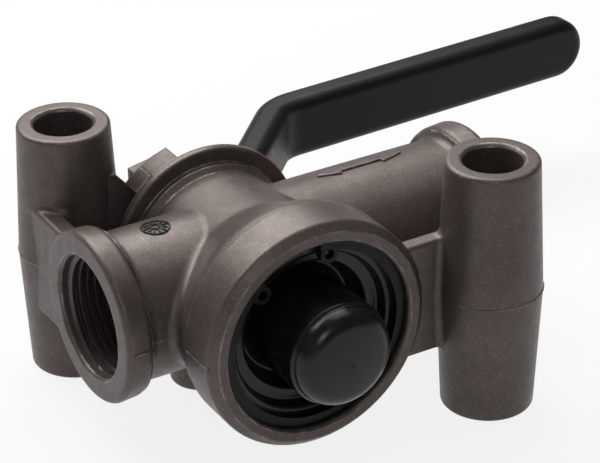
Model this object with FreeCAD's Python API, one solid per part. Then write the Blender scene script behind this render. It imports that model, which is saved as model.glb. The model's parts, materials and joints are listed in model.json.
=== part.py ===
import FreeCAD, Part
import math
import os

from FreeCAD import Vector

# Shut-off valve for compressed air: a cast body with two threaded ports in line, a
# spring-loaded taper plug across them, and a hand lever that turns the plug.
# Millimetres. The port axis runs along X and the plug axis along Y; they cross at the
# valve centre. Z is up, along the two mounting tubes, and z = 0 is the casting's
# parting plane. Each finished piece is moved so that the origin lies on the axis of
# the left mounting tube.

# Ports
thread_d = 22.0
thread_length = 14.0
thread_mouth = 0.5
passage_d = 13.0
left_port_reach = 30.6
right_port_reach = 48.5
neck_d = 26.8
collar_d = 31.3
collar_length = 5.0
collar_edge = 1.1
collar_root = 1.6
collar_draft = 0.4
neck_fillet = 1.6

# Mounting tubes
left_tube_x = -21.5
left_tube_y = 24.7
right_tube_x = 34.35
right_tube_y = -27.0
tube_top = 24.7
tube_bottom = 23.5
tube_bore_d = 10.5
tube_end_d = 16.6
tube_seam_d = 18.8
tube_edge = 0.7
tube_bore_edge = 0.5

# Webs between the tubes and the rest of the casting
left_web_top = 11.3
left_web_bottom = 9.6
left_web_wall = 3.8
left_web_edge = 0.6
right_web_height = 22.0
right_web_wall = 3.2
right_web_y = -23.8
web_edge = 0.8
web_fillet = 1.2

# Bell: the round housing about the plug axis
bell_front = 27.0
bell_rim_wall = 3.55
bell_rim_chamfer = 1.5
bell_rim_edge = 0.8
bell_rim_length = 9.0
bell_step = 0.3
flare_front_y = -16.07
flare_front_round = 5.6
flare_rear_y = -6.41
flare_rear_round = 5.4
barrel_front_d = 31.84
barrel_rear_d = 28.6
barrel_spare = 3.6

# Rear flange and boss
flange_y = 12.4
flange_length = 1.8
flange_d = 37.0
flange_edge = 0.5
step_collar_d = 31.4
step_collar_length = 1.0
step_collar_rise = 2.4
step_collar_sink = 0.8
flange_core = 1.2
boss_d = 22.0
boss_length = 5.5
boss_edge = 0.5

# Ear that joins the flange to the left tube, its raised lug, and the two lever stops
ear_front_y = 15.4
ear_wall = 3.4
ear_draft = 2.2
ear_r = 18.1
ear_notch_deg = 135.0
ear_top = 15.8
ear_bottom = 13.0
ear_rise_x = 2.6
lug_from_deg = 105.0
lug_to_deg = 123.0
lug_reach = 4.0
stop_width = 5.5
stop_inner_r = 10.9
stop_outer_r = 14.2
stop_taper = 1.0
stop_root = 1.0
stop_reach = 8.6
stop_gap = 0.3

# Drain pad under the barrel
pad_x = -8.5
pad_y = 1.0
pad_d = 11.0
pad_bottom = 19.6
pad_edge = 0.9

# Bore of the bell
bore_d = 35.5
bore_mouth = 0.4
ring_land = 1.3
ring_wall = 1.5
ring_slack = 0.05
ring_groove_depth = 0.95
cap_seat_y = -17.0
cap_seat_width = 0.9
spring_room_y = -13.6

# Taper plug, its liner and the stem
plug_mean_r = 11.2
plug_taper = 0.06
plug_front_y = -11.9
plug_rear_y = 9.5
plug_recess_d = 10.0
plug_recess_depth = 2.4
liner_wall = 1.0
liner_lead = 0.2
running_gap = 0.05
seat_gap = 0.05
stem_d = 10.0
stem_square = 7.0
stem_thread_d = 6.0
stem_thread_edge = 0.6
rear_wall_y = 9.9

# Seals and bush round the stem
bush_wall = 1.5
bush_length = 3.4
o_ring_section = 1.78
groove_extra = 0.22
groove_land = 0.4
wiper_wall = 1.7
wiper_lip = 0.6

# Thrust ring, spring plate and spring
thrust_wall = 1.0
thrust_d = 21.0
thrust_hole_d = 10.4
plate_wall = 1.0
plate_d = 19.0
plate_hole_d = 6.0
plate_spigot_d = 9.4
plate_spigot_length = 2.0
spring_wire_d = 1.6
spring_mean_d = 11.8
spring_turns = 5.0

# End cap
cap_d = 35.3
cap_lip_d = 29.4
cap_step_depth = 2.2
cap_trough_d = 24.0
cap_trough_draft = 0.8
cap_trough_depth = 6.5
cap_spigot_d = 31.6
cap_spigot_length = 1.4
cap_floor_edge = 1.1
dome_root_d = 19.0
dome_d = 18.2
dome_root_reach = 5.7
dome_reach = 10.1
dome_edge = 3.4
dome_crown_r = 3.0
dome_crown_fall = 1.2
dome_inner_edge = 1.5
dome_wall = 1.9
cap_groove_y = -20.4

# Snap ring
ring_bore_d = 31.8
ring_gap_from = 87.0
ring_gap_to = 127.5
ring_ear_r = 1.7
ring_ear_centre_r = 15.1
ring_ear_hole_d = 1.8

# Lever: flat bar, cranked away from the flange, with a dipped grip
bar_width = 9.0
bar_wall = 3.0
hub_d = 20.0
hub_clear = 0.3
crank_start_x = 10.7
crank_rise = 23.3
crank_angle = 46.0
handle_splay = 2.0
bend_r = 10.0
lever_reach = 105.8
grip_wall = 1.8
grip_lead = 5.5
grip_edge = 2.3

# Fasteners on the stem
washer_d = 12.0
washer_wall = 1.6
lock_washer_d = 11.6
lock_washer_wall = 1.5
lock_washer_split = 1.0
nut_flats = 10.0
nut_height = 5.0
nut_edge = 0.5
thread_show = 1.0
thread_gap = 0.05

AXES = {"x": Vector(1, 0, 0), "y": Vector(0, 1, 0), "z": Vector(0, 0, 1)}
CENTRE = Vector(0, 0, 0)
DATUM = Vector(left_tube_x, left_tube_y, 0)


def corner_arc(before, corner, after, radius):
    """Ends and middle of the arc that rounds one corner."""
    to_before = (before - corner).normalize()
    to_after = (after - corner).normalize()
    half = to_before.getAngle(to_after) / 2
    reach = radius / math.tan(half)
    middle = (to_before + to_after).normalize() * (radius / math.sin(half) - radius)
    return corner + to_before * reach, corner + middle, corner + to_after * reach


def outline(points, radii):
    """Closed wire through points, each corner rounded by its radius."""
    edges = []
    count = len(points)
    starts = []
    ends = []
    for i, point in enumerate(points):
        if radii[i] > 0:
            first, middle, last = corner_arc(points[i - 1], point, points[(i + 1) % count], radii[i])
            edges.append(Part.Arc(first, middle, last).toShape())
        else:
            first, last = point, point
        starts.append(first)
        ends.append(last)
    for i in range(count):
        after = starts[(i + 1) % count]
        if (after - ends[i]).Length > 1e-6:
            edges.append(Part.LineSegment(ends[i], after).toShape())
    return Part.Wire(Part.__sortEdges__(edges))


def turned(corners, axis):
    """Solid of revolution about an axis from (along, radius[, rounding]) corners."""
    along = AXES[axis]
    across = AXES["y"] if axis == "x" else AXES["x"]
    points = [along * corner[0] + across * corner[1] for corner in corners]
    radii = [corner[2] if len(corner) > 2 else 0 for corner in corners]
    return Part.Face(outline(points, radii)).revolve(CENTRE, along, 360)


def ring(axis, start, end, inner_r, outer_r):
    """Plain ring along an axis."""
    return turned([(start, inner_r), (start, outer_r), (end, outer_r), (end, inner_r)], axis)


def rod(axis, start, end, radius):
    """Plain cylinder along an axis."""
    return Part.makeCylinder(radius, end - start, AXES[axis] * start, AXES[axis])


def slab(points, y_from, y_to):
    """Plate between two Y planes from an outline of (x, z) points."""
    corners = [Vector(x, y_from, z) for x, z in points]
    face = Part.Face(Part.makePolygon(corners + corners[:1]))
    return face.extrude(Vector(0, y_to - y_from, 0))


def box(x_from, x_to, y_from, y_to, z_from, z_to):
    """Box between six planes."""
    corner = Vector(x_from, y_from, z_from)
    return Part.makeBox(x_to - x_from, y_to - y_from, z_to - z_from, corner)


def o_ring(centre_y, inner_r):
    """O-ring about the plug axis."""
    section = o_ring_section / 2
    return Part.makeTorus(inner_r + section, section, Vector(0, centre_y, 0), AXES["y"])


def plug_radius(y):
    """Radius of the taper plug at a place along its axis."""
    return plug_mean_r - plug_taper * y


# Places that follow from the sizes above
bell_rim_d = bore_d + 2 * bell_rim_wall
stem_r = stem_d / 2
stem_hole_r = stem_r + running_gap
liner_inner = running_gap
liner_outer = running_gap + liner_wall
taper_bore = liner_outer + seat_gap
ring_front_y = -bell_front + ring_land
cap_front_y = ring_front_y + ring_wall + ring_slack
boss_end_y = flange_y + flange_length + boss_length
lever_front_y = boss_end_y + hub_clear
lever_back_y = lever_front_y + bar_wall
bush_y = rear_wall_y
groove_length = o_ring_section + groove_extra
groove_r = stem_hole_r + o_ring_section + running_gap
inner_groove_y = bush_y + bush_length + groove_land
outer_groove_y = inner_groove_y + groove_length + groove_land
wiper_y = outer_groove_y + groove_length + groove_land
thrust_y = plug_front_y - running_gap - thrust_wall
plate_y = thrust_y - plate_wall
washer_y = lever_back_y
lock_washer_y = washer_y + washer_wall
nut_y = lock_washer_y + lock_washer_wall
stem_end_y = nut_y + nut_height + thread_show


def mounting_tube():
    """Tube with draft both ways from the parting plane, its bore left for later."""
    end_r = tube_end_d / 2
    return turned(
        [
            (-tube_bottom, 0),
            (-tube_bottom, end_r, tube_edge),
            (0, tube_seam_d / 2),
            (tube_top, end_r, tube_edge),
            (tube_top, 0),
        ],
        "z",
    )


def tube_bore():
    """Bolt hole of a mounting tube, eased at both ends."""
    bore_r = tube_bore_d / 2
    return turned(
        [
            (-tube_bottom, 0),
            (-tube_bottom, bore_r + tube_bore_edge),
            (-tube_bottom + tube_bore_edge, bore_r),
            (tube_top - tube_bore_edge, bore_r),
            (tube_top, bore_r + tube_bore_edge),
            (tube_top, 0),
        ],
        "z",
    )


def port(reach):
    """Neck and collar of one port, along +X."""
    collar_back = reach - collar_length
    return turned(
        [
            (0, 0),
            (0, neck_d / 2),
            (collar_back, neck_d / 2, collar_root),
            (collar_back, collar_d / 2 - collar_draft, collar_edge),
            (reach, collar_d / 2, collar_edge),
            (reach, 0),
        ],
        "x",
    )


def port_hole(reach):
    """Thread hole and passage of one port, along +X, at the thread's outside size."""
    thread_r = thread_d / 2
    passage_r = passage_d / 2
    thread_end = reach - thread_length
    return turned(
        [
            (0, 0),
            (0, passage_r),
            (thread_end - (thread_r - passage_r) / 2, passage_r),
            (thread_end, thread_r),
            (reach - thread_mouth, thread_r),
            (reach, thread_r + thread_mouth),
            (reach, 0),
        ],
        "x",
    )


def bell():
    """Bell and barrel, turned about the plug axis, with spare length at the rear."""
    rim_r = bell_rim_d / 2
    rim_end = -bell_front + bell_rim_length
    barrel_end = flange_y + barrel_spare
    return turned(
        [
            (-bell_front, 0),
            (-bell_front, rim_r - bell_rim_chamfer),
            (-bell_front + bell_rim_chamfer, rim_r, bell_rim_edge),
            (rim_end, rim_r),
            (rim_end + bell_step, rim_r - bell_step),
            (flare_front_y, rim_r - bell_step, flare_front_round),
            (flare_rear_y, barrel_front_d / 2, flare_rear_round),
            (barrel_end, barrel_rear_d / 2),
            (barrel_end, 0),
        ],
        "y",
    )


def rear_flange():
    """Step collar, flange and boss behind the barrel."""
    flange_back = flange_y + flange_length
    step_y = flange_y - step_collar_length
    root_y = step_y - step_collar_rise
    root_r = barrel_rear_d / 2 - step_collar_sink
    return turned(
        [
            (root_y, 0),
            (root_y, root_r),
            (step_y, step_collar_d / 2),
            (flange_y, step_collar_d / 2),
            (flange_y, flange_d / 2, flange_edge),
            (flange_back, flange_d / 2, flange_edge),
            (flange_back, boss_d / 2),
            (boss_end_y, boss_d / 2, boss_edge),
            (boss_end_y, 0),
        ],
        "y",
    )


def on_neck(shape, edge):
    """Whether an edge is where a port's neck leaves the bell or the barrel."""
    necks = 0
    for face in shape.ancestorsOfType(edge, Part.Face):
        surface = face.Surface
        if surface.TypeId == "Part::GeomCylinder" and abs(surface.Radius - neck_d / 2) < 0.01:
            necks += 1
    inside = abs(edge.CenterOfMass.x) < left_port_reach - collar_length - collar_root
    return necks == 1 and inside


def valve_core():
    """Bell, barrel and both ports in one, with the necks blended into the bell."""
    left_port = port(left_port_reach).mirror(CENTRE, AXES["x"])
    core = bell().multiFuse([left_port, port(right_port_reach)]).removeSplitter()
    blended = core.makeFillet(neck_fillet, [edge for edge in core.Edges if on_neck(core, edge)])
    spare = rod("y", flange_y + flange_core, flange_y + barrel_spare + 1.0, flange_d / 2)
    return blended.cut(spare)


def bell_bore():
    """Bore for the cap, snap ring groove, taper bore and stem hole."""
    bore_r = bore_d / 2
    groove_bottom = bore_r + ring_groove_depth
    seat_r = bore_r - cap_seat_width
    bush_r = stem_r + running_gap + bush_wall
    wiper_r = stem_hole_r + wiper_wall
    return turned(
        [
            (-bell_front, 0),
            (-bell_front, bore_r + bore_mouth),
            (-bell_front + bore_mouth, bore_r),
            (ring_front_y - ring_slack, bore_r),
            (ring_front_y - ring_slack, groove_bottom),
            (cap_front_y, groove_bottom),
            (cap_front_y, bore_r),
            (cap_seat_y, bore_r),
            (cap_seat_y, seat_r),
            (spring_room_y, seat_r),
            (spring_room_y, plug_radius(spring_room_y) + taper_bore),
            (rear_wall_y, plug_radius(rear_wall_y) + taper_bore),
            (rear_wall_y, bush_r),
            (bush_y + bush_length, bush_r),
            (bush_y + bush_length, stem_hole_r),
            (inner_groove_y, stem_hole_r),
            (inner_groove_y, groove_r),
            (inner_groove_y + groove_length, groove_r),
            (inner_groove_y + groove_length, stem_hole_r),
            (outer_groove_y, stem_hole_r),
            (outer_groove_y, groove_r),
            (outer_groove_y + groove_length, groove_r),
            (outer_groove_y + groove_length, stem_hole_r),
            (wiper_y, stem_hole_r),
            (wiper_y, wiper_r),
            (boss_end_y, wiper_r),
            (boss_end_y, 0),
        ],
        "y",
    )


def left_web():
    """Plate from the left tube, behind the collar, to the left port."""
    outer_x = -left_port_reach + left_web_edge
    plate = box(outer_x, outer_x + left_web_wall, 0, left_tube_y, -left_web_bottom, left_web_top)
    return plate.makeFillet(web_edge, edges_along(plate, "y"))


def right_web():
    """Plate from the bell to the right tube."""
    half = right_web_height / 2
    wall = right_web_wall / 2
    plate = box(0, right_tube_x, right_web_y - wall, right_web_y + wall, -half, half)
    return plate.makeFillet(web_edge, edges_along(plate, "x"))


def tube_on_web(tube, web):
    """A mounting tube joined to its web, with a fillet where the web meets the tube."""
    joined = tube.fuse(web).removeSplitter()
    found = []
    for edge in joined.Edges:
        kinds = [face.Surface.TypeId for face in joined.ancestorsOfType(edge, Part.Face)]
        on_web = "Part::GeomPlane" in kinds or "Part::GeomCylinder" in kinds
        if "Part::GeomCone" in kinds and on_web:
            found.append(edge)
    return joined.makeFillet(web_fillet, found)


def edges_along(shape, axis):
    """Straight edges of a shape that run along an axis."""
    found = []
    for edge in shape.Edges:
        span = edge.Vertexes[-1].Point - edge.Vertexes[0].Point
        if abs(span.dot(AXES[axis])) > 0.999 * edge.Length:
            found.append(edge)
    return found


def on_circle(radius, angle_deg):
    """Point of a circle about the plug axis, as (x, z)."""
    angle = math.radians(angle_deg)
    return radius * math.cos(angle), radius * math.sin(angle)


def sector(radius, from_deg, to_deg, y_from, y_to):
    """Solid sector about the plug axis between two Y planes."""
    middle_deg = (from_deg + to_deg) / 2
    ends = []
    for angle_deg in (from_deg, middle_deg, to_deg):
        x, z = on_circle(radius, angle_deg)
        ends.append(Vector(x, y_from, z))
    centre = Vector(0, y_from, 0)
    edges = [
        Part.LineSegment(centre, ends[0]).toShape(),
        Part.Arc(*ends).toShape(),
        Part.LineSegment(ends[2], centre).toShape(),
    ]
    return Part.Face(Part.Wire(edges)).extrude(Vector(0, y_to - y_from, 0))


def ear():
    """Drafted wall between the rear flange and the left tube, round on top."""
    back_y = ear_front_y + ear_wall
    notch_x, notch_z = on_circle(ear_r, ear_notch_deg)
    side = slab(
        [
            (0, -ear_bottom),
            (left_tube_x, -ear_bottom),
            (left_tube_x, ear_top),
            (notch_x - ear_rise_x, ear_top),
            (notch_x, notch_z),
            (0, 0),
        ],
        ear_front_y,
        back_y,
    )
    plate = side.fuse(sector(ear_r, lug_from_deg, ear_notch_deg, ear_front_y, back_y))
    tall = ear_top + 1.0
    corners = [
        Vector(left_tube_x, ear_front_y + ear_draft, tall),
        Vector(left_tube_x, ear_front_y, 0),
        Vector(left_tube_x, ear_front_y + ear_draft, -tall),
        Vector(left_tube_x, back_y, -tall),
        Vector(left_tube_x, back_y, tall),
    ]
    draft = Part.Face(Part.makePolygon(corners + corners[:1])).extrude(Vector(-left_tube_x, 0, 0))
    return plate.common(draft)


def ear_lug():
    """Rim of the flange carried back over the ear as a raised lug."""
    back_y = flange_y + flange_length + lug_reach
    return sector(flange_d / 2, lug_from_deg, lug_to_deg, flange_y + flange_edge, back_y)


def lever_stop():
    """Cast stop that the lever's crank lies against, placed for the open lever."""
    face_z = -bar_width / 2 - stop_gap
    flange_back = flange_y + flange_length
    block = slab(
        [
            (stop_inner_r, face_z),
            (stop_outer_r, face_z),
            (stop_outer_r - stop_taper, face_z - stop_width),
            (stop_inner_r, face_z - stop_width),
        ],
        flange_back - stop_root,
        flange_back + stop_reach,
    )
    return block


def drain_pad():
    """Round pad under the barrel."""
    pad = turned(
        [(-pad_bottom, 0), (-pad_bottom, pad_d / 2, pad_edge), (-neck_d / 4, pad_d / 2), (-neck_d / 4, 0)],
        "z",
    )
    pad.translate(Vector(pad_x, pad_y, 0))
    return pad


def valve_body():
    """One-piece casting with all its machined holes."""
    left_hole = port_hole(left_port_reach).mirror(CENTRE, AXES["x"])
    closed_stop = lever_stop().mirror(CENTRE, AXES["z"])
    closed_stop.rotate(CENTRE, AXES["y"], -90)
    left_place = Vector(left_tube_x, left_tube_y, 0)
    right_place = Vector(right_tube_x, right_tube_y, 0)
    cast = valve_core().multiFuse(
        [
            rear_flange(),
            tube_on_web(mounting_tube().translated(left_place), left_web()),
            tube_on_web(mounting_tube().translated(right_place), right_web()),
            ear(),
            ear_lug(),
            lever_stop(),
            closed_stop,
            drain_pad(),
        ]
    )
    holes = [
        bell_bore(),
        left_hole,
        port_hole(right_port_reach),
        tube_bore().translated(left_place),
        tube_bore().translated(right_place),
    ]
    return cast.cut(holes).removeSplitter()


def plug():
    """Taper plug with its cross passage, stem, square and threaded end."""
    thread_r = stem_thread_d / 2
    cone = turned(
        [
            (plug_front_y, 0),
            (plug_front_y, plug_radius(plug_front_y)),
            (plug_rear_y, plug_radius(plug_rear_y)),
            (plug_rear_y, stem_r),
            (lever_front_y, stem_r),
            (lever_front_y, 0),
        ],
        "y",
    )
    half = stem_square / 2
    square = box(-half, half, lever_front_y - 1.0, lever_back_y, -half, half)
    thread = turned(
        [
            (lever_back_y, 0),
            (lever_back_y, thread_r),
            (stem_end_y - stem_thread_edge, thread_r),
            (stem_end_y, thread_r - stem_thread_edge),
            (stem_end_y, 0),
        ],
        "y",
    )
    solid = cone.multiFuse([square, thread])
    recess = rod("y", plug_front_y, plug_front_y + plug_recess_depth, plug_recess_d / 2)
    passage = rod("x", -plug_mean_r * 2, plug_mean_r * 2, passage_d / 2)
    return solid.cut([recess, passage]).removeSplitter()


def plug_liner():
    """Low-friction sleeve between the plug and the taper bore."""
    start = spring_room_y + liner_lead
    end = rear_wall_y - liner_lead
    sleeve = turned(
        [
            (start, plug_radius(start) + liner_inner),
            (start, plug_radius(start) + liner_outer),
            (end, plug_radius(end) + liner_outer),
            (end, plug_radius(end) + liner_inner),
        ],
        "y",
    )
    return sleeve.cut(rod("x", -plug_mean_r * 2, plug_mean_r * 2, passage_d / 2))


def stem_bush():
    """Plain bush that carries the stem."""
    return ring("y", bush_y, bush_y + bush_length, stem_hole_r, stem_hole_r + bush_wall)


def stem_o_ring(groove_y):
    """O-ring in one groove of the stem hole."""
    return o_ring(groove_y + groove_length / 2, stem_hole_r)


def stem_wiper():
    """Dust wiper at the mouth of the stem hole, with a lip against the stem."""
    outer_r = stem_hole_r + wiper_wall
    return turned(
        [
            (wiper_y, stem_hole_r + wiper_lip),
            (wiper_y, outer_r),
            (boss_end_y, outer_r),
            (boss_end_y, stem_hole_r),
            (boss_end_y - wiper_lip, stem_hole_r),
        ],
        "y",
    )


def thrust_ring():
    """Slide ring between the turning plug and the still spring plate."""
    return ring("y", thrust_y, thrust_y + thrust_wall, thrust_hole_d / 2, thrust_d / 2)


def spring_plate():
    """Plate with a spigot that centres the spring."""
    hole_r = plate_hole_d / 2
    return turned(
        [
            (plate_y - plate_spigot_length, hole_r),
            (plate_y - plate_spigot_length, plate_spigot_d / 2, 0.4),
            (plate_y, plate_spigot_d / 2),
            (plate_y, plate_d / 2),
            (thrust_y, plate_d / 2),
            (thrust_y, hole_r),
        ],
        "y",
    )


def dome_top_y():
    """Outside of the dome's crown."""
    return -bell_front - dome_reach


def plug_spring():
    """Compression spring from the crown of the cap to the spring plate."""
    wire_r = spring_wire_d / 2
    start = dome_top_y() + dome_wall + seat_gap + wire_r
    length = plate_y - seat_gap - wire_r - start
    pitch = length / spring_turns
    helix = Part.makeHelix(pitch, length, spring_mean_d / 2)
    helix.rotate(CENTRE, AXES["x"], -90)
    helix.translate(Vector(0, start, 0))
    wire = Part.Wire(helix.Edges)
    first = wire.Edges[0]
    place = first.valueAt(first.FirstParameter)
    run = first.tangentAt(first.FirstParameter)
    section = Part.Wire(Part.Circle(place, run, wire_r).toShape())
    return wire.makePipeShell([section], True, True)


def end_cap():
    """Moulded cap: sealed rim, stepped trough and a tall dome that houses the spring."""
    cap_r = cap_d / 2
    step_y = cap_front_y + cap_step_depth
    floor_y = cap_front_y + cap_trough_depth
    trough_r = cap_trough_d / 2
    floor_r = trough_r - cap_trough_draft
    root_y = -bell_front - dome_root_reach
    top_y = dome_top_y()
    dome_r = dome_d / 2
    crown_slope = math.atan2(dome_crown_fall, dome_r - dome_crown_r)
    crown_round = dome_crown_r / math.tan(crown_slope / 2)
    inner_r = dome_r - dome_wall
    back_y = cap_seat_y + cap_spigot_length
    solid = turned(
        [
            (cap_seat_y, cap_r, 0.2),
            (cap_front_y, cap_r, 0.2),
            (cap_front_y, cap_lip_d / 2, 0.8),
            (step_y, cap_lip_d / 2 - 0.4, 0.5),
            (step_y, trough_r, 0.7),
            (floor_y, floor_r, cap_floor_edge),
            (floor_y, dome_root_d / 2, cap_floor_edge),
            (root_y, dome_root_d / 2, 0.3),
            (root_y - 0.5, dome_r, 0.3),
            (top_y + dome_crown_fall, dome_r, dome_edge),
            (top_y, dome_crown_r, crown_round),
            (top_y, 0),
            (top_y + dome_wall, 0),
            (top_y + dome_wall, inner_r, dome_inner_edge),
            (back_y, inner_r, 0.3),
            (back_y, cap_spigot_d / 2, 0.4),
            (cap_seat_y, cap_spigot_d / 2),
        ],
        "y",
    )
    half = groove_length / 2
    bottom_r = bore_d / 2 - o_ring_section - running_gap
    groove = ring("y", cap_groove_y - half, cap_groove_y + half, bottom_r, cap_r + 1.0)
    return solid.cut(groove)


def cap_o_ring():
    """O-ring between the cap and the bore."""
    return o_ring(cap_groove_y, bore_d / 2 - o_ring_section - running_gap / 2)


def snap_ring():
    """Inside snap ring with two eared ends."""
    groove_bottom = bore_d / 2 + ring_groove_depth
    outer_r = groove_bottom - ring_slack * 3
    back_y = ring_front_y + ring_wall
    hoop = ring("y", ring_front_y, back_y, ring_bore_d / 2, outer_r)
    reach = bore_d
    gap = []
    steps = 4
    for i in range(steps + 1):
        angle = math.radians(ring_gap_from + (ring_gap_to - ring_gap_from) * i / steps)
        gap.append((reach * math.cos(angle), reach * math.sin(angle)))
    hoop = hoop.cut(slab([(0, 0)] + gap, ring_front_y - 1.0, back_y + 1.0))
    ears = []
    holes = []
    turn_in = math.degrees(ring_ear_r / ring_ear_centre_r)
    for angle_deg in (ring_gap_from - turn_in, ring_gap_to + turn_in):
        angle = math.radians(angle_deg)
        place = Vector(ring_ear_centre_r * math.cos(angle), 0, ring_ear_centre_r * math.sin(angle))
        ears.append(rod("y", ring_front_y, back_y, ring_ear_r).translated(place))
        holes.append(rod("y", ring_front_y, back_y, ring_ear_hole_d / 2).translated(place))
    return hoop.multiFuse(ears).cut(holes).removeSplitter()


def lever_path():
    """Centre line of the bar in the XY plane: hub, crank and handle."""
    hub_y = lever_front_y + bar_wall / 2
    crank_end_x = crank_start_x + crank_rise / math.tan(math.radians(crank_angle))
    splay = math.tan(math.radians(handle_splay))
    return [
        Vector(-hub_d / 2, hub_y, 0),
        Vector(crank_start_x, hub_y, 0),
        Vector(crank_end_x, hub_y + crank_rise, 0),
        Vector(lever_reach, hub_y + crank_rise + (lever_reach - crank_end_x) * splay, 0),
    ]


def side_line(path, offset):
    """The path shifted sideways by an offset, mitred at its bends."""
    shifted = []
    for i, point in enumerate(path):
        normals = []
        for a, b in ((i - 1, i), (i, i + 1)):
            if a >= 0 and b < len(path):
                run = (path[b] - path[a]).normalize()
                normals.append(Vector(-run.y, run.x, 0))
        mitre = normals[0] + normals[-1]
        mitre.normalize()
        shifted.append(point + mitre * (offset / mitre.dot(normals[0])))
    return shifted


def bent_bar(path, wall, width):
    """Flat bar bent along a path, with its width along Z."""
    left = side_line(path, wall / 2)
    right = side_line(path, -wall / 2)
    outer = bend_r + wall / 2
    inner = bend_r - wall / 2
    points = right + left[::-1]
    radii = [0, outer, inner, 0, 0, outer, inner, 0]
    face = Part.Face(outline(points, radii))
    face.translate(Vector(0, 0, -width / 2))
    return face.extrude(Vector(0, 0, width))


def handle_tip(path, wall, width, edge):
    """Round end of the handle: its half section turned about the handle's normal."""
    run = (path[-1] - path[-2]).normalize()
    normal = Vector(-run.y, run.x, 0)
    centre = path[-1]
    side = normal * (wall / 2)
    rise = AXES["z"] * (width / 2)
    corners = [centre - side, centre - side + rise, centre + side + rise, centre + side]
    section = outline(corners, [0, edge, edge, 0])
    return Part.Face(section).revolve(centre, normal, 360)


def shortened(path, length):
    """The path with its last run cut back by a length."""
    run = (path[-1] - path[-2]).normalize()
    return path[:-1] + [path[-1] - run * length]


def lever():
    """Bent flat bar with a round hub, a round tip and a square hole."""
    half = bar_width / 2
    path = shortened(lever_path(), half)
    strip = bent_bar(path, bar_wall, hub_d)
    front = lever_front_y - bar_wall
    back = path[-1].y + bar_wall
    hub = rod("y", front, back, hub_d / 2)
    blank = hub.fuse(box(0, lever_reach, front, back, -half, half))
    solid = strip.common(blank).fuse(handle_tip(path, bar_wall, bar_width, 0))
    side = stem_square / 2 + thread_gap
    hole = box(-side, side, front, lever_back_y + bar_wall, -side, side)
    return solid.cut(hole).removeSplitter()


def lever_grip(bar):
    """Dipped grip over the crank and the handle, rounded all round."""
    wall = bar_wall + 2 * grip_wall
    width = bar_width + 2 * grip_wall
    path = shortened(lever_path(), bar_width / 2)
    crank_run = (path[2] - path[1]).normalize()
    start = path[1] + crank_run * grip_lead
    first, middle, last = corner_arc(start, path[2], path[3], bend_r)
    edges = [
        Part.LineSegment(start, first).toShape(),
        Part.Arc(first, middle, last).toShape(),
        Part.LineSegment(last, path[3]).toShape(),
    ]
    side = Vector(-crank_run.y, crank_run.x, 0) * (wall / 2)
    rise = AXES["z"] * (width / 2)
    corners = [start - side - rise, start - side + rise, start + side + rise, start + side - rise]
    section = outline(corners, [grip_edge] * 4)
    sleeve = Part.Wire(edges).makePipeShell([section], True, False)
    dipped = sleeve.fuse(handle_tip(path, wall, width, grip_edge)).removeSplitter()
    return dipped.cut(bar)


def lever_washer():
    """Plain washer between the lever and the lock washer."""
    hole_r = stem_thread_d / 2 + thread_gap
    return ring("y", washer_y, washer_y + washer_wall, hole_r, washer_d / 2)


def lever_lock_washer():
    """Split spring washer, pressed flat."""
    hole_r = stem_thread_d / 2 + thread_gap
    end_y = lock_washer_y + lock_washer_wall
    whole = ring("y", lock_washer_y, end_y, hole_r, lock_washer_d / 2)
    half = lock_washer_split / 2
    split = box(-half, half, lock_washer_y, end_y, 0, lock_washer_d)
    return whole.cut(split)


def lever_nut():
    """Hexagon nut with eased corners."""
    corner_r = nut_flats / math.sqrt(3)
    corners = []
    for i in range(6):
        angle = math.radians(60 * i)
        corners.append((corner_r * math.cos(angle), corner_r * math.sin(angle)))
    hexagon = slab(corners, nut_y, nut_y + nut_height)
    flats_r = nut_flats / 2
    cone = turned(
        [
            (nut_y, 0),
            (nut_y, flats_r),
            (nut_y + nut_edge, corner_r + 0.05),
            (nut_y + nut_height - nut_edge, corner_r + 0.05),
            (nut_y + nut_height, flats_r),
            (nut_y + nut_height, 0),
        ],
        "y",
    )
    hole = rod("y", nut_y, nut_y + nut_height, stem_thread_d / 2 + thread_gap)
    return hexagon.common(cone).cut(hole)


def save(name, shape):
    """Write one piece, moved to the part's origin."""
    placed = shape.translated(DATUM.negative())
    placed.exportStep("parts/" + name + ".step")
    print(name, "valid", placed.isValid(), "solids", len(placed.Solids), "volume", round(placed.Volume, 1))


def build():
    """Make and write every piece."""
    os.makedirs("parts", exist_ok=True)
    bar = lever()
    save("valve_body", valve_body())
    save("plug", plug())
    save("plug_liner", plug_liner())
    save("stem_bush", stem_bush())
    save("stem_o_ring_inner", stem_o_ring(inner_groove_y))
    save("stem_o_ring_outer", stem_o_ring(outer_groove_y))
    save("stem_wiper", stem_wiper())
    save("thrust_ring", thrust_ring())
    save("spring_plate", spring_plate())
    save("plug_spring", plug_spring())
    save("end_cap", end_cap())
    save("cap_o_ring", cap_o_ring())
    save("snap_ring", snap_ring())
    save("lever", bar)
    save("lever_grip", lever_grip(bar))
    save("lever_washer", lever_washer())
    save("lever_lock_washer", lever_lock_washer())
    save("lever_nut", lever_nut())


build()
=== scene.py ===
import json
import math
import random

import bmesh
import bpy
from mathutils import Matrix, Vector


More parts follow.
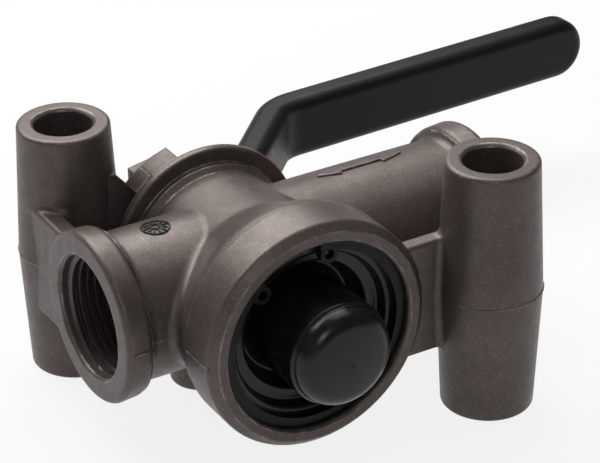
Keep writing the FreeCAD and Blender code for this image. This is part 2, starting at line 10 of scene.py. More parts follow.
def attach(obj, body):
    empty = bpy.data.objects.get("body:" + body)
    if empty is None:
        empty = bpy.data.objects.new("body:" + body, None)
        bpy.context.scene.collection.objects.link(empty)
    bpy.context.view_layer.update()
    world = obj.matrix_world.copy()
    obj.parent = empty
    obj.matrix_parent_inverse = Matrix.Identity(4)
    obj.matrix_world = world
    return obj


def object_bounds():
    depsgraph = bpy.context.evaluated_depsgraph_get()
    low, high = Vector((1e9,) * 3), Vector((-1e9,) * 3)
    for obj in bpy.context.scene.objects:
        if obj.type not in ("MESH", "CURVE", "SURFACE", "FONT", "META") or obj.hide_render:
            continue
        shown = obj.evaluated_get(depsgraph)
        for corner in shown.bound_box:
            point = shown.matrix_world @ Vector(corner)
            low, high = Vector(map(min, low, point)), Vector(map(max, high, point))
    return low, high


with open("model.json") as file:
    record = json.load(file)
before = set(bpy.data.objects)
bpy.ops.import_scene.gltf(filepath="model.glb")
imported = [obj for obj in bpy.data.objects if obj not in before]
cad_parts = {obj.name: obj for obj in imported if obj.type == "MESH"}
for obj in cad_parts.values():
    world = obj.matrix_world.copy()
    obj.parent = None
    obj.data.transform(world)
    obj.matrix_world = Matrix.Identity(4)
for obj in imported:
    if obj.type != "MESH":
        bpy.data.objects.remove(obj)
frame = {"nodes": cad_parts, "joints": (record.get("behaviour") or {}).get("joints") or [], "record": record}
cad_low, cad_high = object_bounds()

# Lengths are in millimetres here and become metres through MM
MM = 0.001
NODES = frame["nodes"]
MOUNTS = {mount["name"]: mount for mount in frame["record"]["mounts"]}
JOINT = frame["joints"][0]
VALVE = Vector(JOINT["pos_m"])
VALVE.y = MOUNTS["left_port"]["pos_m"][1]

# Camera of the photograph
CAMERA_AIM = Vector((32.06, -27.10, 5.91))
CAMERA_AZIMUTH = 30.483
CAMERA_ELEVATION = 29.041
CAMERA_ROLL = -0.816
CAMERA_DISTANCE = 440.28
CAMERA_LENS = 149.37
CAMERA_SENSOR = 36.0

# Casting sizes that the relief and the seams follow
NECK_R = 13.4
COLLAR_R = 15.65
BELL_R = 21.3
TUBE_SEAM_R = 9.4

# Port threads
THREAD_PITCH = 1.5
THREAD_DEPTH = 0.81
THREAD_ROOT = 1.3
THREAD_CREST = 0.38
THREAD_EMBED = 0.04
THREAD_STEPS = 72
THREAD_END_LAND = 0.7
THREAD_RUN_OUT = 0.15

# Flow arrow on the right neck
ARROW_FROM = 16.6
ARROW_TO = 34.2
ARROW_Y = 1.5
ARROW_HEAD = 4.4
ARROW_HEAD_HALF = 1.4
ARROW_SHAFT_HALF = 0.55
ARROW_TIP_HALF = 0.06
ARROW_BARB = 0.25
ARROW_HEIGHT = 0.32

# Depth to which relief is sunk into the casting
RELIEF_ROOT = 0.1

# Date dial on the left neck
DIAL_X = -16.5
DIAL_Y = 0.6
DIAL_R = 2.65
DIAL_HEIGHT = 0.2
# Painted shade over the dial's disc: how far the colour goes to dark, and the width over which it fades out
DIAL_PAINTED_SHADE_SHARE = 0.75
DIAL_PAINTED_SHADE_FADE = 0.15
# Outer radius, inner radius and number of patches of each ring
DIAL_RINGS = ((DIAL_R, DIAL_R - 0.28, 48), (0.95, 0.70, 24))
DIAL_TICKS = 12
DIAL_LONG_EVERY = 3
# Inner and outer radius of the ticks, and half their width as an angle in radians
DIAL_LONG_TICK = (1.1, 2.25)
DIAL_SHORT_TICK = (1.25, 2.1)
DIAL_TICK_SPREAD = 0.11

# Raised rim that closes the step between the flange's lug and the ear
RIM_LUG_R = 18.48
RIM_LUG_INNER_R = 16.2
RIM_LUG_FRONT_Y = 14.1
RIM_LUG_REAR_Y = 18.2
RIM_LUG_FROM = 122.5
RIM_LUG_TO = 135.5
RIM_LUG_STEPS = 12

# Flash left along the parting plane
SEAM_HALF = 0.2
SEAM_TIP_HALF = 0.05
SEAM_HEIGHT = 0.16
SEAM_UNEVEN = (0.45, 1.15)
SEAM_EMBED = 0.12
# From and to, along the ports for the necks and collars
LEFT_NECK_SEAM = (-25.0, -16.0)
RIGHT_NECK_FRONT_SEAM = (19.0, 42.6)
RIGHT_NECK_BACK_SEAM = (15.0, 42.6)
LEFT_COLLAR_SEAM = (-29.6, -26.6)
RIGHT_COLLAR_SEAM = (44.6, 47.4)
# From and to, along the plug axis
BELL_SEAM = (-25.8, -18.6)
# From and to, in degrees about the tube
LEFT_TUBE_ARC = (300.0, -20.0)
RIGHT_TUBE_ARC = (135.0, -160.0)
ARC_SEAM_STEPS = 64
LONG_SEAM_STEPS = 24
SEAM_STEPS = 12
SHORT_SEAM_STEPS = 6

# Angles in degrees past which an edge stays sharp
SHARP_ANGLE = 35.0
THREAD_SHARP_ANGLE = 50.0

# Colours
CAST_DARK = (0.084, 0.063, 0.056, 1)
CAST_PALE = (0.112, 0.089, 0.081, 1)
CAST_PATCH = (0.062, 0.047, 0.042, 1)
CAST_PIT = (0.042, 0.033, 0.030, 1)
# Painted glints: pale specks standing in for the casting's sparkle of light
CAST_PAINTED_GLINT = (0.36, 0.34, 0.33, 1)
# Pale edge colour: partly real wear, partly painted highlight
CAST_WORN_AND_HIGHLIGHT = (0.42, 0.39, 0.37, 1)
# Painted shade for the date dial's disc
DIAL_PAINTED_SHADE = (0.02, 0.017, 0.016, 1)
CUT_DARK = (0.055, 0.045, 0.04, 1)
CUT_PALE = (0.11, 0.095, 0.088, 1)
MOULDING_DARK = (0.0045, 0.004, 0.0045, 1)
MOULDING_PALE = (0.008, 0.007, 0.008, 1)
MOULDING_DUST = (0.05, 0.047, 0.047, 1)
VINYL_DARK = (0.006, 0.005, 0.006, 1)
VINYL_PALE = (0.010, 0.009, 0.010, 1)
VINYL_PORE = (0.03, 0.029, 0.03, 1)
BAR_DARK = (0.20, 0.19, 0.19, 1)
BAR_PALE = (0.42, 0.41, 0.41, 1)
BAR_STAIN = (0.12, 0.10, 0.09, 1)
ZINC_DARK = (0.44, 0.43, 0.40, 1)
ZINC_PALE = (0.62, 0.61, 0.58, 1)
BRASS = ((0.45, 0.30, 0.12, 1), (0.60, 0.43, 0.19, 1))
BRONZE = ((0.30, 0.17, 0.08, 1), (0.42, 0.25, 0.12, 1))
SEAL_BLACK = ((0.012, 0.012, 0.012, 1), (0.02, 0.02, 0.02, 1))
SLIDE_WHITE = ((0.62, 0.62, 0.58, 1), (0.70, 0.70, 0.67, 1))
SPRING_GREY = ((0.20, 0.20, 0.21, 1), (0.32, 0.32, 0.33, 1))
RING_BLACK = ((0.006, 0.006, 0.007, 1), (0.014, 0.014, 0.015, 1))
FLOOR_DARK = (0.54, 0.54, 0.54, 1)
FLOOR_PALE = (0.56, 0.56, 0.56, 1)

# Part of a noise field's range that a finish spreads out
NOISE_SPAN = (0.3, 0.7)

# Smoothest and roughest place of each finish
CAST_ROUGH = (0.36, 0.46)
CUT_ROUGH = (0.28, 0.42)
MOULDING_ROUGH = (0.22, 0.32)
VINYL_ROUGH = (0.34, 0.46)
BAR_ROUGH = (0.30, 0.46)
ZINC_ROUGH = (0.26, 0.40)
SPRING_ROUGH = (0.32, 0.5)
BRASS_ROUGH = (0.25, 0.38)
BRONZE_ROUGH = (0.3, 0.45)
SEAL_ROUGH = (0.5, 0.65)
SLIDE_ROUGH = (0.4, 0.5)

# Rounded edges in millimetres, and the cosines between which the pale edge mark of wear and painted
# highlight goes from none to full
CAST_EDGE_R = 0.6
MOULDING_EDGE_R = 0.25
WEAR_AND_HIGHLIGHT_NONE = 0.995
WEAR_AND_HIGHLIGHT_FULL = 0.90

# How much less rough a fully worn edge is
WEAR_POLISH = 0.12

# Shares of two noise fields in a bump
CAST_GRAIN_SHARE = 0.7
CAST_MOTTLE_SHARE = 0.5
VINYL_WAVE_SHARE = 2.5
VINYL_SKIN_SHARE = 0.35

# Surface values that are the same all over
CAST_METALLIC = 0.45
CAST_SPECULAR = 0.4
CUT_METALLIC = 0.75
SPRING_METALLIC = 0.8
MOULDING_IOR = 1.36
VINYL_IOR = 1.27
FLOOR_ROUGH = 0.9

# Share of plain white in what the camera and reflections see of the floor
FLOOR_GLOW = 0.85

# Studio, in metres and watts: each lamp's place from the middle of the valve, size and power
WORLD_LIGHT = 0.16
FLOOR_SIZE = 8.0
LAMPS = (
    ("back_softbox", (-0.06, 0.38, 0.52), (0.80, 0.40), 7.3),
    ("top_softbox", (0.15, 0.05, 0.70), (0.40, 0.40), 1.4),
    ("fill_softbox", (-0.35, -0.65, 0.45), (0.25, 0.25), 1.0),
)


def at_valve(x, y, z):
    """A place given from the valve centre in millimetres, in the frame's metres."""
    return VALVE + Vector((x, y, z)) * MM


def mesh_piece(name, verts, faces, body, material, sharp_angle=SHARP_ANGLE):
    """A closed mesh as a piece that rides on a body."""
    mesh = bpy.data.meshes.new(name)
    mesh.from_pydata([tuple(v) for v in verts], [], faces)
    work = bmesh.new()
    work.from_mesh(mesh)
    bmesh.ops.remove_doubles(work, verts=work.verts, dist=1e-7)
    bmesh.ops.recalc_face_normals(work, faces=work.faces)
    work.to_mesh(mesh)
    work.free()
    piece = bpy.data.objects.new(name, mesh)
    bpy.context.scene.collection.objects.link(piece)
    mesh.materials.append(material)
    mesh.shade_smooth()
    mesh.set_sharp_from_angle(angle=math.radians(sharp_angle))
    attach(piece, body)


def run_faces(steps):
    """Faces along a run of four-cornered sections, closed at both ends."""
    faces = []
    for i in range(steps):
        base = 4 * i
        for k in range(4):
            after = (k + 1) % 4
            faces.append((base + k, base + after, base + 4 + after, base + 4 + k))
    last = 4 * steps
    faces.append((0, 1, 2, 3))
    faces.append((last, last + 1, last + 2, last + 3))
    return faces


# Materials

class Finish:
    """A procedural finish under construction, with its coordinates in millimetres."""

    def __init__(self, name):
        self.material = bpy.data.materials.new(name)
        self.material.use_nodes = True
        self.tree = self.material.node_tree
        self.tree.nodes.clear()
        self.output = self.add("ShaderNodeOutputMaterial")
        self.shader = self.add("ShaderNodeBsdfPrincipled")
        self.link(self.shader.outputs[0], self.output.inputs["Surface"])
        place = self.add("ShaderNodeTexCoord")
        scaled = self.add("ShaderNodeVectorMath", operation="SCALE")
        scaled.inputs["Scale"].default_value = 1.0 / MM
        self.link(place.outputs["Object"], scaled.inputs[0])
        self.place = scaled.outputs["Vector"]

    def add(self, kind, **settings):
        node = self.tree.nodes.new(kind)
        for key, value in settings.items():
            setattr(node, key, value)
        return node

    def link(self, source, target):
        self.tree.links.new(source, target)

    def feed(self, value, target):
        """Link a socket, or set a plain number or colour."""
        if isinstance(value, bpy.types.NodeSocket):
            self.link(value, target)
        else:
            target.default_value = value

    def surface(self, **values):
        """Set or link sockets of the surface shader by name."""
        for key, value in values.items():
            self.feed(value, self.shader.inputs[key.replace("_", " ")])

    def noise(self, scale, detail=2.0, rough=0.5, stretch=None):
        """Noise with its scale in cells for each millimetre."""
        node = self.add("ShaderNodeTexNoise")
        node.inputs["Scale"].default_value = scale
        node.inputs["Detail"].default_value = detail
        node.inputs["Roughness"].default_value = rough
        place = self.place
        if stretch:
            squeezed = self.add("ShaderNodeVectorMath", operation="MULTIPLY")
            squeezed.inputs[1].default_value = stretch
            self.link(place, squeezed.inputs[0])
            place = squeezed.outputs["Vector"]
        self.link(place, node.inputs["Vector"])
        return node.outputs["Fac"]

    def cells(self, scale):
        """Random value for each small cell."""
        node = self.add("ShaderNodeTexVoronoi")
        node.inputs["Scale"].default_value = scale
        self.link(self.place, node.inputs["Vector"])
        split = self.add("ShaderNodeSeparateColor")
        self.link(node.outputs["Color"], split.inputs["Color"])
        return split.outputs["Red"]

    def spread(self, value, low, high, to_low=0.0, to_high=1.0):
        """Map a range of a value onto another range, clamped."""
        node = self.add("ShaderNodeMapRange")
        self.feed(value, node.inputs["Value"])
        node.inputs["From Min"].default_value = low
        node.inputs["From Max"].default_value = high
        self.feed(to_low, node.inputs["To Min"])
        self.feed(to_high, node.inputs["To Max"])
        return node.outputs["Result"]

    def maths(self, operation, first, second=0.0):
        node = self.add("ShaderNodeMath", operation=operation)
        self.feed(first, node.inputs[0])
        self.feed(second, node.inputs[1])
        return node.outputs["Value"]

    def blend(self, factor, first, second):
        """Colour between two colours."""
        node = self.add("ShaderNodeMix", data_type="RGBA")
        self.feed(factor, node.inputs["Factor"])
        self.feed(first, node.inputs[6])
        self.feed(second, node.inputs[7])
        return node.outputs[2]

    def bump(self, height, distance, strength=1.0, normal=None):
        """Bump with its depth in millimetres."""
        node = self.add("ShaderNodeBump")
        node.inputs["Strength"].default_value = strength
        node.inputs["Distance"].default_value = distance * MM
        self.link(height, node.inputs["Height"])
        if normal:
            self.link(normal, node.inputs["Normal"])
        return node.outputs["Normal"]

    def soft_edge(self, radius):
        """Normal rounded over sharp edges, with the radius in millimetres."""
        bevel = self.add("ShaderNodeBevel", samples=6)
        bevel.inputs["Radius"].default_value = radius * MM
        return bevel.outputs["Normal"]

    def wear_and_highlight_edge(self, rounded):
        """1 where a rounded normal departs from its face, and 0 on the open face."""
        flat = self.add("ShaderNodeNewGeometry")
        dot = self.add("ShaderNodeVectorMath", operation="DOT_PRODUCT")
        self.link(rounded, dot.inputs[0])
        self.link(flat.outputs["Normal"], dot.inputs[1])
        return self.spread(dot.outputs["Value"], WEAR_AND_HIGHLIGHT_NONE, WEAR_AND_HIGHLIGHT_FULL)

    def near(self, centre, radius, edge):
        """1 within a radius of a place in millimetres, falling to 0 over an edge."""
        gap = self.add("ShaderNodeVectorMath", operation="DISTANCE")
        self.link(self.place, gap.inputs[0])
        gap.inputs[1].default_value = centre
        return self.spread(gap.outputs["Value"], radius + edge, radius)


def cast_metal():
    """Brown-grey satin casting with a fine grain, painted glints, and edges lightened by wear and painted
    highlight.
    """
    f = Finish("cast_metal")
    cloud = f.noise(scale=0.09, detail=3.0, rough=0.6)
    mottle = f.noise(scale=0.55, detail=3.0, rough=0.55)
    grain = f.noise(scale=4.2, detail=2.0, rough=0.6)
    sparkle = f.cells(scale=7.0)
    tone = f.blend(f.spread(cloud, low=0.35, high=0.65), CAST_DARK, CAST_PALE)
    tone = f.blend(f.spread(mottle, *NOISE_SPAN, to_high=0.3), tone, CAST_PATCH)
    tone = f.blend(f.spread(grain, low=0.35, high=0.65, to_low=0.3, to_high=0.0), tone, CAST_PIT)
    # Painted glints: random cells lightened towards a pale colour, standing in for sparkle of light
    painted_glint = f.spread(sparkle, low=0.90, high=1.0, to_high=0.30)
    tone = f.blend(painted_glint, tone, CAST_PAINTED_GLINT)
    rounded = f.soft_edge(CAST_EDGE_R)
    patches = f.noise(scale=0.35, detail=3.0, rough=0.6)
    patchy = f.spread(patches, low=0.42, high=0.62, to_low=0.1, to_high=0.8)
    # Convex and concave edges alike are lightened: partly real wear, partly painted highlight
    edge = f.maths("MULTIPLY", f.wear_and_highlight_edge(rounded), patchy)
    tone = f.blend(edge, tone, CAST_WORN_AND_HIGHLIGHT)
    # Painted shade: the casting darkened over the dial's disc
    dial_painted_shade = f.near(at_valve(DIAL_X, DIAL_Y, NECK_R) / MM, DIAL_R, DIAL_PAINTED_SHADE_FADE)
    tone = f.blend(f.maths("MULTIPLY", dial_painted_shade, DIAL_PAINTED_SHADE_SHARE), tone, DIAL_PAINTED_SHADE)
    rough = f.spread(mottle, *NOISE_SPAN, *CAST_ROUGH)
    rough = f.maths("SUBTRACT", rough, f.maths("MULTIPLY", edge, WEAR_POLISH))
    fine = f.maths("MULTIPLY", grain, CAST_GRAIN_SHARE)
    coarse = f.maths("MULTIPLY", mottle, CAST_MOTTLE_SHARE)
    height = f.maths("ADD", fine, coarse)
    normal = f.bump(height, distance=0.035, strength=0.8, normal=rounded)
    f.surface(Base_Color=tone, Metallic=CAST_METALLIC, Roughness=rough, Normal=normal)
    f.surface(Specular_IOR_Level=CAST_SPECULAR)
    return f.material


def machined_metal():
    """Cut surface of the casting, with fine tool lines round the ports."""
    f = Finish("machined_metal")
    streak = f.noise(scale=1.2, detail=3.0, rough=0.6, stretch=(8.0, 0.3, 0.3))
    tone = f.blend(f.spread(streak, *NOISE_SPAN), CUT_DARK, CUT_PALE)
    rough = f.spread(streak, *NOISE_SPAN, *CUT_ROUGH)
    normal = f.bump(streak, distance=0.01, strength=0.5)
    f.surface(Base_Color=tone, Metallic=CUT_METALLIC, Roughness=rough, Normal=normal)
    return f.material


def black_moulding():
    """Glossy black moulded plastic with faint flow marks and dust."""
    f = Finish("black_moulding")
    flow = f.noise(scale=0.25, detail=2.0, rough=0.5)
    orange = f.noise(scale=1.6, detail=2.0, rough=0.5)
    specks = f.noise(scale=7.0, detail=1.0, rough=0.5)
    dust = f.spread(specks, low=0.72, high=0.80, to_high=0.4)
    tone = f.blend(f.spread(flow, *NOISE_SPAN), MOULDING_DARK, MOULDING_PALE)
    tone = f.blend(dust, tone, MOULDING_DUST)
    rough = f.spread(flow, *NOISE_SPAN, *MOULDING_ROUGH)
    rounded = f.soft_edge(MOULDING_EDGE_R)
    normal = f.bump(orange, distance=0.012, strength=0.5, normal=rounded)
    f.surface(Base_Color=tone, Roughness=rough, Normal=normal)
    f.surface(IOR=MOULDING_IOR)
    return f.material


def dipped_vinyl():
    """Thick black dip coat with a soft uneven skin."""
    f = Finish("dipped_vinyl")
    wave = f.noise(scale=0.10, detail=2.0, rough=0.5)
    skin = f.noise(scale=0.9, detail=3.0, rough=0.55)
    pores = f.noise(scale=5.0, detail=1.0, rough=0.5)
    tone = f.blend(f.spread(wave, *NOISE_SPAN), VINYL_DARK, VINYL_PALE)
    tone = f.blend(f.spread(pores, low=0.70, high=0.82, to_high=0.3), tone, VINYL_PORE)
    rough = f.spread(skin, *NOISE_SPAN, *VINYL_ROUGH)
    coarse = f.maths("MULTIPLY", wave, VINYL_WAVE_SHARE)
    fine = f.maths("MULTIPLY", skin, VINYL_SKIN_SHARE)
    normal = f.bump(f.maths("ADD", coarse, fine), distance=0.06, strength=0.6)
    f.surface(Base_Color=tone, Roughness=rough, Normal=normal)
    f.surface(IOR=VINYL_IOR)
    return f.material


def brushed_bar():
    """Rolled steel bar with mill streaks along its length."""
    f = Finish("brushed_bar")
    streak = f.noise(scale=1.0, detail=4.0, rough=0.6, stretch=(0.12, 2.5, 2.5))
    stain = f.noise(scale=0.15, detail=3.0, rough=0.6)
    tone = f.blend(f.spread(streak, *NOISE_SPAN), BAR_DARK, BAR_PALE)
    tone = f.blend(f.spread(stain, low=0.5, high=0.75, to_high=0.5), tone, BAR_STAIN)
    rough = f.spread(streak, *NOISE_SPAN, *BAR_ROUGH)
    normal = f.bump(streak, distance=0.012, strength=0.5)
    f.surface(Base_Color=tone, Metallic=1.0, Roughness=rough, Normal=normal)
    return f.material


def zinc_steel():
    """Zinc-plated steel with a cloudy passivated skin."""
    f = Finish("zinc_steel")
    cloud = f.noise(scale=0.5, detail=3.0, rough=0.6)
    fine = f.noise(scale=4.0, detail=2.0, rough=0.5)
    tone = f.blend(f.spread(cloud, *NOISE_SPAN), ZINC_DARK, ZINC_PALE)
    rough = f.spread(fine, *NOISE_SPAN, *ZINC_ROUGH)
    normal = f.bump(fine, distance=0.008, strength=0.5)
    f.surface(Base_Color=tone, Metallic=1.0, Roughness=rough, Normal=normal)
    return f.material


def dark_spring_steel(name, tones):
    """Oiled or blackened spring steel."""
    f = Finish(name)
    stain = f.noise(scale=0.8, detail=3.0, rough=0.6)
    fine = f.noise(scale=5.0, detail=2.0, rough=0.5)
    rough = f.spread(stain, *NOISE_SPAN, *SPRING_ROUGH)
    f.surface(Base_Color=f.blend(f.spread(stain, *NOISE_SPAN), *tones))
    normal = f.bump(fine, distance=0.008, strength=0.5)
    f.surface(Metallic=SPRING_METALLIC, Roughness=rough, Normal=normal)
    return f.material


def turned_alloy(name, tones, roughs):
    """Turned bronze or brass with tool rings about the plug axis."""
    f = Finish(name)
    rings = f.noise(scale=1.0, detail=3.0, rough=0.6, stretch=(0.1, 9.0, 0.1))
    tarnish = f.noise(scale=0.3, detail=3.0, rough=0.6)
    tone = f.blend(f.spread(tarnish, *NOISE_SPAN), *tones)
    rough = f.spread(rings, *NOISE_SPAN, *roughs)
    normal = f.bump(rings, distance=0.008, strength=0.6)
    f.surface(Base_Color=tone, Metallic=1.0, Roughness=rough, Normal=normal)
    return f.material


def soft_plastic(name, tones, roughs):
    """Matt seal rubber or slide plastic with a fine skin."""
    f = Finish(name)
    cloud = f.noise(scale=0.6, detail=3.0, rough=0.6)
    fine = f.noise(scale=6.0, detail=2.0, rough=0.5)
    tone = f.blend(f.spread(cloud, *NOISE_SPAN), *tones)
    rough = f.spread(fine, *NOISE_SPAN, *roughs)
    normal = f.bump(fine, distance=0.01, strength=0.5)
    f.surface(Base_Color=tone, Roughness=rough, Normal=normal)
    return f.material


def floor_white():
    """Pale floor that keeps the shadow and reads as a white background."""
    f = Finish("floor_white")
    grey = f.noise(scale=0.004, detail=1.0, rough=0.5)
    f.surface(Base_Color=f.blend(grey, FLOOR_DARK, FLOOR_PALE), Roughness=FLOOR_ROUGH)
    glow = f.add("ShaderNodeEmission")
    glow.inputs["Strength"].default_value = 1.0
    path = f.add("ShaderNodeLightPath")
    seen = f.maths("MAXIMUM", path.outputs["Is Camera Ray"], path.outputs["Is Glossy Ray"])
    seen = f.maths("MAXIMUM", seen, path.outputs["Is Transmission Ray"])
    mixed = f.add("ShaderNodeMixShader")
    f.link(f.maths("MULTIPLY", seen, FLOOR_GLOW), mixed.inputs["Fac"])
    f.link(f.shader.outputs[0], mixed.inputs[1])
    f.link(glow.outputs[0], mixed.inputs[2])
    f.link(mixed.outputs[0], f.output.inputs["Surface"])
    return f.material


CAST = cast_metal()
CUT = machined_metal()
RUBBER = soft_plastic("seal_rubber", SEAL_BLACK, SEAL_ROUGH)
SLIDE = soft_plastic("slide_plastic", SLIDE_WHITE, SLIDE_ROUGH)
ZINC = zinc_steel()
DRESSED = {
    "valve_body": CAST,
    "plug": turned_alloy("plug_brass", BRASS, BRASS_ROUGH),
    "plug_liner": SLIDE,
    "stem_bush": turned_alloy("bush_bronze", BRONZE, BRONZE_ROUGH),
    "stem_o_ring_inner": RUBBER,
    "stem_o_ring_outer": RUBBER,
    "stem_wiper": RUBBER,
    "thrust_ring": SLIDE,
    "spring_plate": ZINC,
    "plug_spring": dark_spring_steel("spring_steel", SPRING_GREY),
    "end_cap": black_moulding(),
    "cap_o_ring": RUBBER,
    "snap_ring": dark_spring_steel("black_steel", RING_BLACK),
    "lever": brushed_bar(),
    "lever_grip": dipped_vinyl(),
    "lever_washer": ZINC,
    "lever_lock_washer": ZINC,
    "lever_nut": ZINC,
}


def dress_frame():
    """Give every CAD node its finish."""
    for name, material in DRESSED.items():
        node = NODES[name]
        for slot in node.material_slots:
            slot.material = material


# Port threads

def port_thread(name, mount):
    """Thread ridge inside one port, run out at both ends."""
    axis = Vector(mount["axis"]).normalized()
    middle = Vector(mount["pos_m"])
    wall_r = mount["dims"]["r_mm"]
    length = mount["dims"]["length_mm"] - 2 * THREAD_END_LAND
    across = Vector((0, 0, 1))
    side = axis.cross(across)
    turns = length / THREAD_PITCH
    steps = int(turns * THREAD_STEPS)
    verts = []
    for i in range(steps + 1):
        angle = 2 * math.pi * i / THREAD_STEPS
        along = -length / 2 + THREAD_PITCH * i / THREAD_STEPS
        run_out = min(1.0, i / THREAD_STEPS, (steps - i) / THREAD_STEPS)
        depth = THREAD_DEPTH * (THREAD_RUN_OUT + (1 - THREAD_RUN_OUT) * run_out)
        outward = across * math.cos(angle) + side * math.sin(angle)
        corners = (
            (wall_r + THREAD_EMBED, -THREAD_ROOT / 2),
            (wall_r - depth, -THREAD_CREST / 2),
            (wall_r - depth, THREAD_CREST / 2),
            (wall_r + THREAD_EMBED, THREAD_ROOT / 2),
        )
        for radius, shift in corners:
            verts.append(middle + (axis * (along + shift) + outward * radius) * MM)
    mesh_piece(name, verts, run_faces(steps), "housing", CUT, THREAD_SHARP_ANGLE)


# Relief on the necks

def on_neck(x, y, height):
    """A place on top of a neck, raised by a height."""
    return at_valve(x, y, math.sqrt(NECK_R ** 2 - y ** 2) + height)


def flow_arrow():
    """Raised double-headed arrow along the right neck."""
    stations = [
        (ARROW_FROM, ARROW_TIP_HALF),
        (ARROW_FROM + ARROW_HEAD, ARROW_HEAD_HALF),
        (ARROW_FROM + ARROW_HEAD + ARROW_BARB, ARROW_SHAFT_HALF),
        (ARROW_TO - ARROW_HEAD - ARROW_BARB, ARROW_SHAFT_HALF),
        (ARROW_TO - ARROW_HEAD, ARROW_HEAD_HALF),
        (ARROW_TO, ARROW_TIP_HALF),
    ]
    verts = []
    faces = []
    for x, half in stations:
        for y in (ARROW_Y - half, ARROW_Y, ARROW_Y + half):
            verts.append(on_neck(x, y, ARROW_HEIGHT))
            verts.append(on_neck(x, y, -RELIEF_ROOT))
    for i in range(len(stations) - 1):
        a, b = 6 * i, 6 * (i + 1)
        for k in (0, 2):
            faces.append((a + k, b + k, b + k + 2, a + k + 2))
            faces.append((a + k + 1, a + k + 3, b + k + 3, b + k + 1))
        faces.append((a, a + 1, b + 1, b))
        faces.append((a + 4, b + 4, b + 5, a + 5))
    last = 6 * (len(stations) - 1)
    for base in (0, last):
        faces.append((base, base + 2, base + 3, base + 1))
        faces.append((base + 2, base + 4, base + 5, base + 3))
    mesh_piece("flow_arrow", verts, faces, "housing", CAST)


def neck_patch(verts, faces, outline):
    """Add one raised patch, given by its outline in plan, to a mesh."""
    start = len(verts)
    count = len(outline)
    for x, y in outline:
        verts.append(on_neck(x, y, DIAL_HEIGHT))
        verts.append(on_neck(x, y, -RELIEF_ROOT))
    faces.append([start + 2 * i for i in range(count)])
    faces.append([start + 2 * i + 1 for i in reversed(range(count))])
    for i in range(count):
        a = start + 2 * i
        b = start + 2 * ((i + 1) % count)
        faces.append((a, a + 1, b + 1, b))


def dial_point(radius, angle):
    """Plan point about the centre of the date dial."""
    return (DIAL_X + radius * math.cos(angle), DIAL_Y + radius * math.sin(angle))


def date_dial():
    """Plain round dial of raised ticks on the left neck, with no figures."""
    verts = []
    faces = []
    for outer, inner, count in DIAL_RINGS:
        for i in range(count):
            start = 2 * math.pi * i / count
            end = 2 * math.pi * (i + 1) / count
            outline = [
                dial_point(outer, start),
                dial_point(outer, end),
                dial_point(inner, end),
                dial_point(inner, start),
            ]
            neck_patch(verts, faces, outline)
    for i in range(DIAL_TICKS):
        angle = 2 * math.pi * i / DIAL_TICKS
        inner, outer = DIAL_SHORT_TICK if i % DIAL_LONG_EVERY else DIAL_LONG_TICK
        outer_spread = DIAL_TICK_SPREAD * inner / outer
        outline = [
            dial_point(outer, angle - outer_spread),
            dial_point(outer, angle + outer_spread),
            dial_point(inner, angle + DIAL_TICK_SPREAD),
            dial_point(inner, angle - DIAL_TICK_SPREAD),
        ]
        neck_patch(verts, faces, outline)
    mesh_piece("date_dial", verts, faces, "housing", CAST)


def rim_lug():
    """Raised rim between the flange's lug and the notch of the ear."""
    verts = []
    for i in range(RIM_LUG_STEPS + 1):
        angle = math.radians(RIM_LUG_FROM + (RIM_LUG_TO - RIM_LUG_FROM) * i / RIM_LUG_STEPS)
        for radius, y in (
            (RIM_LUG_INNER_R, RIM_LUG_FRONT_Y),
            (RIM_LUG_R, RIM_LUG_FRONT_Y),
            (RIM_LUG_R, RIM_LUG_REAR_Y),
            (RIM_LUG_INNER_R, RIM_LUG_REAR_Y),
        ):
            verts.append(at_valve(radius * math.cos(angle), y, radius * math.sin(angle)))
    mesh_piece("rim_lug", verts, run_faces(RIM_LUG_STEPS), "housing", CAST)


# Parting flash

def arc_points(centre, radius, start, end, count):
    """Plan points of an arc about a place, with angles in degrees."""
    points = []
    for i in range(count + 1):
        angle = math.radians(start + (end - start) * i / count)
        points.append((centre[0] + radius * math.cos(angle), centre[1] + radius * math.sin(angle)))
    return points


def line_points(start, end, count):
    """Evenly spaced plan points of a straight stretch."""
    return [
        (start[0] + (end[0] - start[0]) * i / count, start[1] + (end[1] - start[1]) * i / count)
        for i in range(count + 1)
    ]


def port_line(span, y, count):
    """Plan points along a port, between two places on its axis."""
    return line_points((span[0], y), (span[1], y), count)


def flash_strip(name, points, outward_sign, seed):
    """Thin uneven ridge along plan points in the parting plane."""
    rng = random.Random(seed)
    verts = []
    for i, point in enumerate(points):
        before = Vector(points[max(i - 1, 0)])
        after = Vector(points[min(i + 1, len(points) - 1)])
        run = (after - before).normalized()
        outward = Vector((run.y, -run.x)) * outward_sign
        height = SEAM_HEIGHT * rng.uniform(*SEAM_UNEVEN)
        inner = Vector(point) - outward * SEAM_EMBED
        tip = Vector(point) + outward * height
        section = ((inner, -SEAM_HALF), (tip, -SEAM_TIP_HALF), (tip, SEAM_TIP_HALF), (inner, SEAM_HALF))
        for plan, z in section:
            verts.append(at_valve(plan.x, plan.y, z))
    mesh_piece(name, verts, run_faces(len(points) - 1), "housing", CAST)


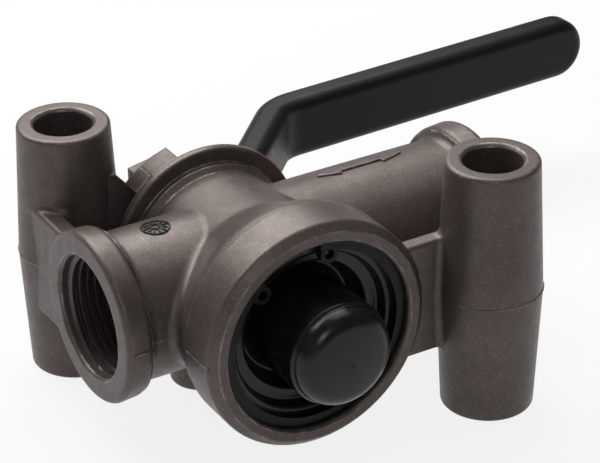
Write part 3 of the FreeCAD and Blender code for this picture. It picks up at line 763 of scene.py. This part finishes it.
def parting_flash():
    """Flash along the necks, collars, bell and mounting tubes."""
    left_tube = Vector(MOUNTS["left_tube"]["pos_m"]) - VALVE
    right_tube = Vector(MOUNTS["right_tube"]["pos_m"]) - VALVE
    left_centre = (left_tube.x / MM, left_tube.y / MM)
    right_centre = (right_tube.x / MM, right_tube.y / MM)
    left_arc = arc_points(left_centre, TUBE_SEAM_R, *LEFT_TUBE_ARC, ARC_SEAM_STEPS)
    right_arc = arc_points(right_centre, TUBE_SEAM_R, *RIGHT_TUBE_ARC, ARC_SEAM_STEPS)
    bell_line = line_points((-BELL_R, BELL_SEAM[0]), (-BELL_R, BELL_SEAM[1]), SEAM_STEPS)
    strips = [
        ("flash_left_tube", left_arc, -1),
        ("flash_right_tube", right_arc, -1),
        ("flash_left_neck", port_line(LEFT_NECK_SEAM, -NECK_R, SEAM_STEPS), 1),
        ("flash_right_neck_front", port_line(RIGHT_NECK_FRONT_SEAM, -NECK_R, LONG_SEAM_STEPS), 1),
        ("flash_right_neck_back", port_line(RIGHT_NECK_BACK_SEAM, NECK_R, LONG_SEAM_STEPS), -1),
        ("flash_left_collar", port_line(LEFT_COLLAR_SEAM, -COLLAR_R, SHORT_SEAM_STEPS), 1),
        ("flash_right_collar_front", port_line(RIGHT_COLLAR_SEAM, -COLLAR_R, SHORT_SEAM_STEPS), 1),
        ("flash_right_collar_back", port_line(RIGHT_COLLAR_SEAM, COLLAR_R, SHORT_SEAM_STEPS), -1),
        ("flash_bell_left", bell_line, -1),
    ]
    for seed, (name, points, sign) in enumerate(strips):
        flash_strip(name, points, sign, seed + 1)


# Studio

def square(name, side, place, material):
    """Flat square facing up."""
    half = side / 2
    corners = [(-half, -half, 0), (half, -half, 0), (half, half, 0), (-half, half, 0)]
    mesh = bpy.data.meshes.new(name)
    mesh.from_pydata(corners, [], [(0, 1, 2, 3)])
    mesh.materials.append(material)
    piece = bpy.data.objects.new(name, mesh)
    piece.location = place
    bpy.context.scene.collection.objects.link(piece)
    return piece


def softbox(name, place, aim, size, power):
    """Rectangular area lamp aimed at a point, in metres."""
    data = bpy.data.lights.new(name, "AREA")
    data.shape = "RECTANGLE"
    data.size, data.size_y = size
    data.energy = power
    lamp = bpy.data.objects.new(name, data)
    lamp.location = place
    lamp.rotation_euler = (aim - place).to_track_quat("-Z", "Y").to_euler()
    bpy.context.scene.collection.objects.link(lamp)


def camera():
    """Camera of the photograph, from its azimuth, elevation, roll and distance."""
    azimuth = math.radians(CAMERA_AZIMUTH)
    elevation = math.radians(CAMERA_ELEVATION)
    back = Vector(
        (
            -math.sin(azimuth) * math.cos(elevation),
            -math.cos(azimuth) * math.cos(elevation),
            math.sin(elevation),
        )
    )
    level = Vector((math.cos(azimuth), -math.sin(azimuth), 0))
    roll = Matrix.Rotation(math.radians(CAMERA_ROLL), 3, back)
    right = roll @ level
    up = back.cross(right)
    turn = Matrix((right, up, back)).transposed()
    data = bpy.data.cameras.new("camera")
    data.sensor_width = CAMERA_SENSOR
    data.lens = CAMERA_LENS
    data.clip_start = 0.01
    data.clip_end = 20.0
    view = bpy.data.objects.new("camera", data)
    view.location = (CAMERA_AIM + back * CAMERA_DISTANCE) * MM
    view.rotation_euler = turn.to_euler()
    bpy.context.scene.collection.objects.link(view)
    bpy.context.scene.camera = view


def studio():
    """Pale floor, even surroundings and three soft lamps."""
    middle = (cad_low + cad_high) / 2
    floor = square("floor", FLOOR_SIZE, (middle.x, middle.y, cad_low.z), floor_white())
    world = bpy.data.worlds.new("studio")
    world.use_nodes = True
    background = world.node_tree.nodes["Background"]
    background.inputs["Color"].default_value = (1.0, 1.0, 1.0, 1)
    background.inputs["Strength"].default_value = WORLD_LIGHT
    bpy.context.scene.world = world
    for name, offset, size, power in LAMPS:
        softbox(name, middle + Vector(offset), middle, size, power)


dress_frame()
port_thread("left_port_thread", MOUNTS["left_port"])
port_thread("right_port_thread", MOUNTS["right_port"])
flow_arrow()
date_dial()
rim_lug()
parting_flash()
studio()
camera()
bpy.context.scene.view_settings.view_transform = "Standard"
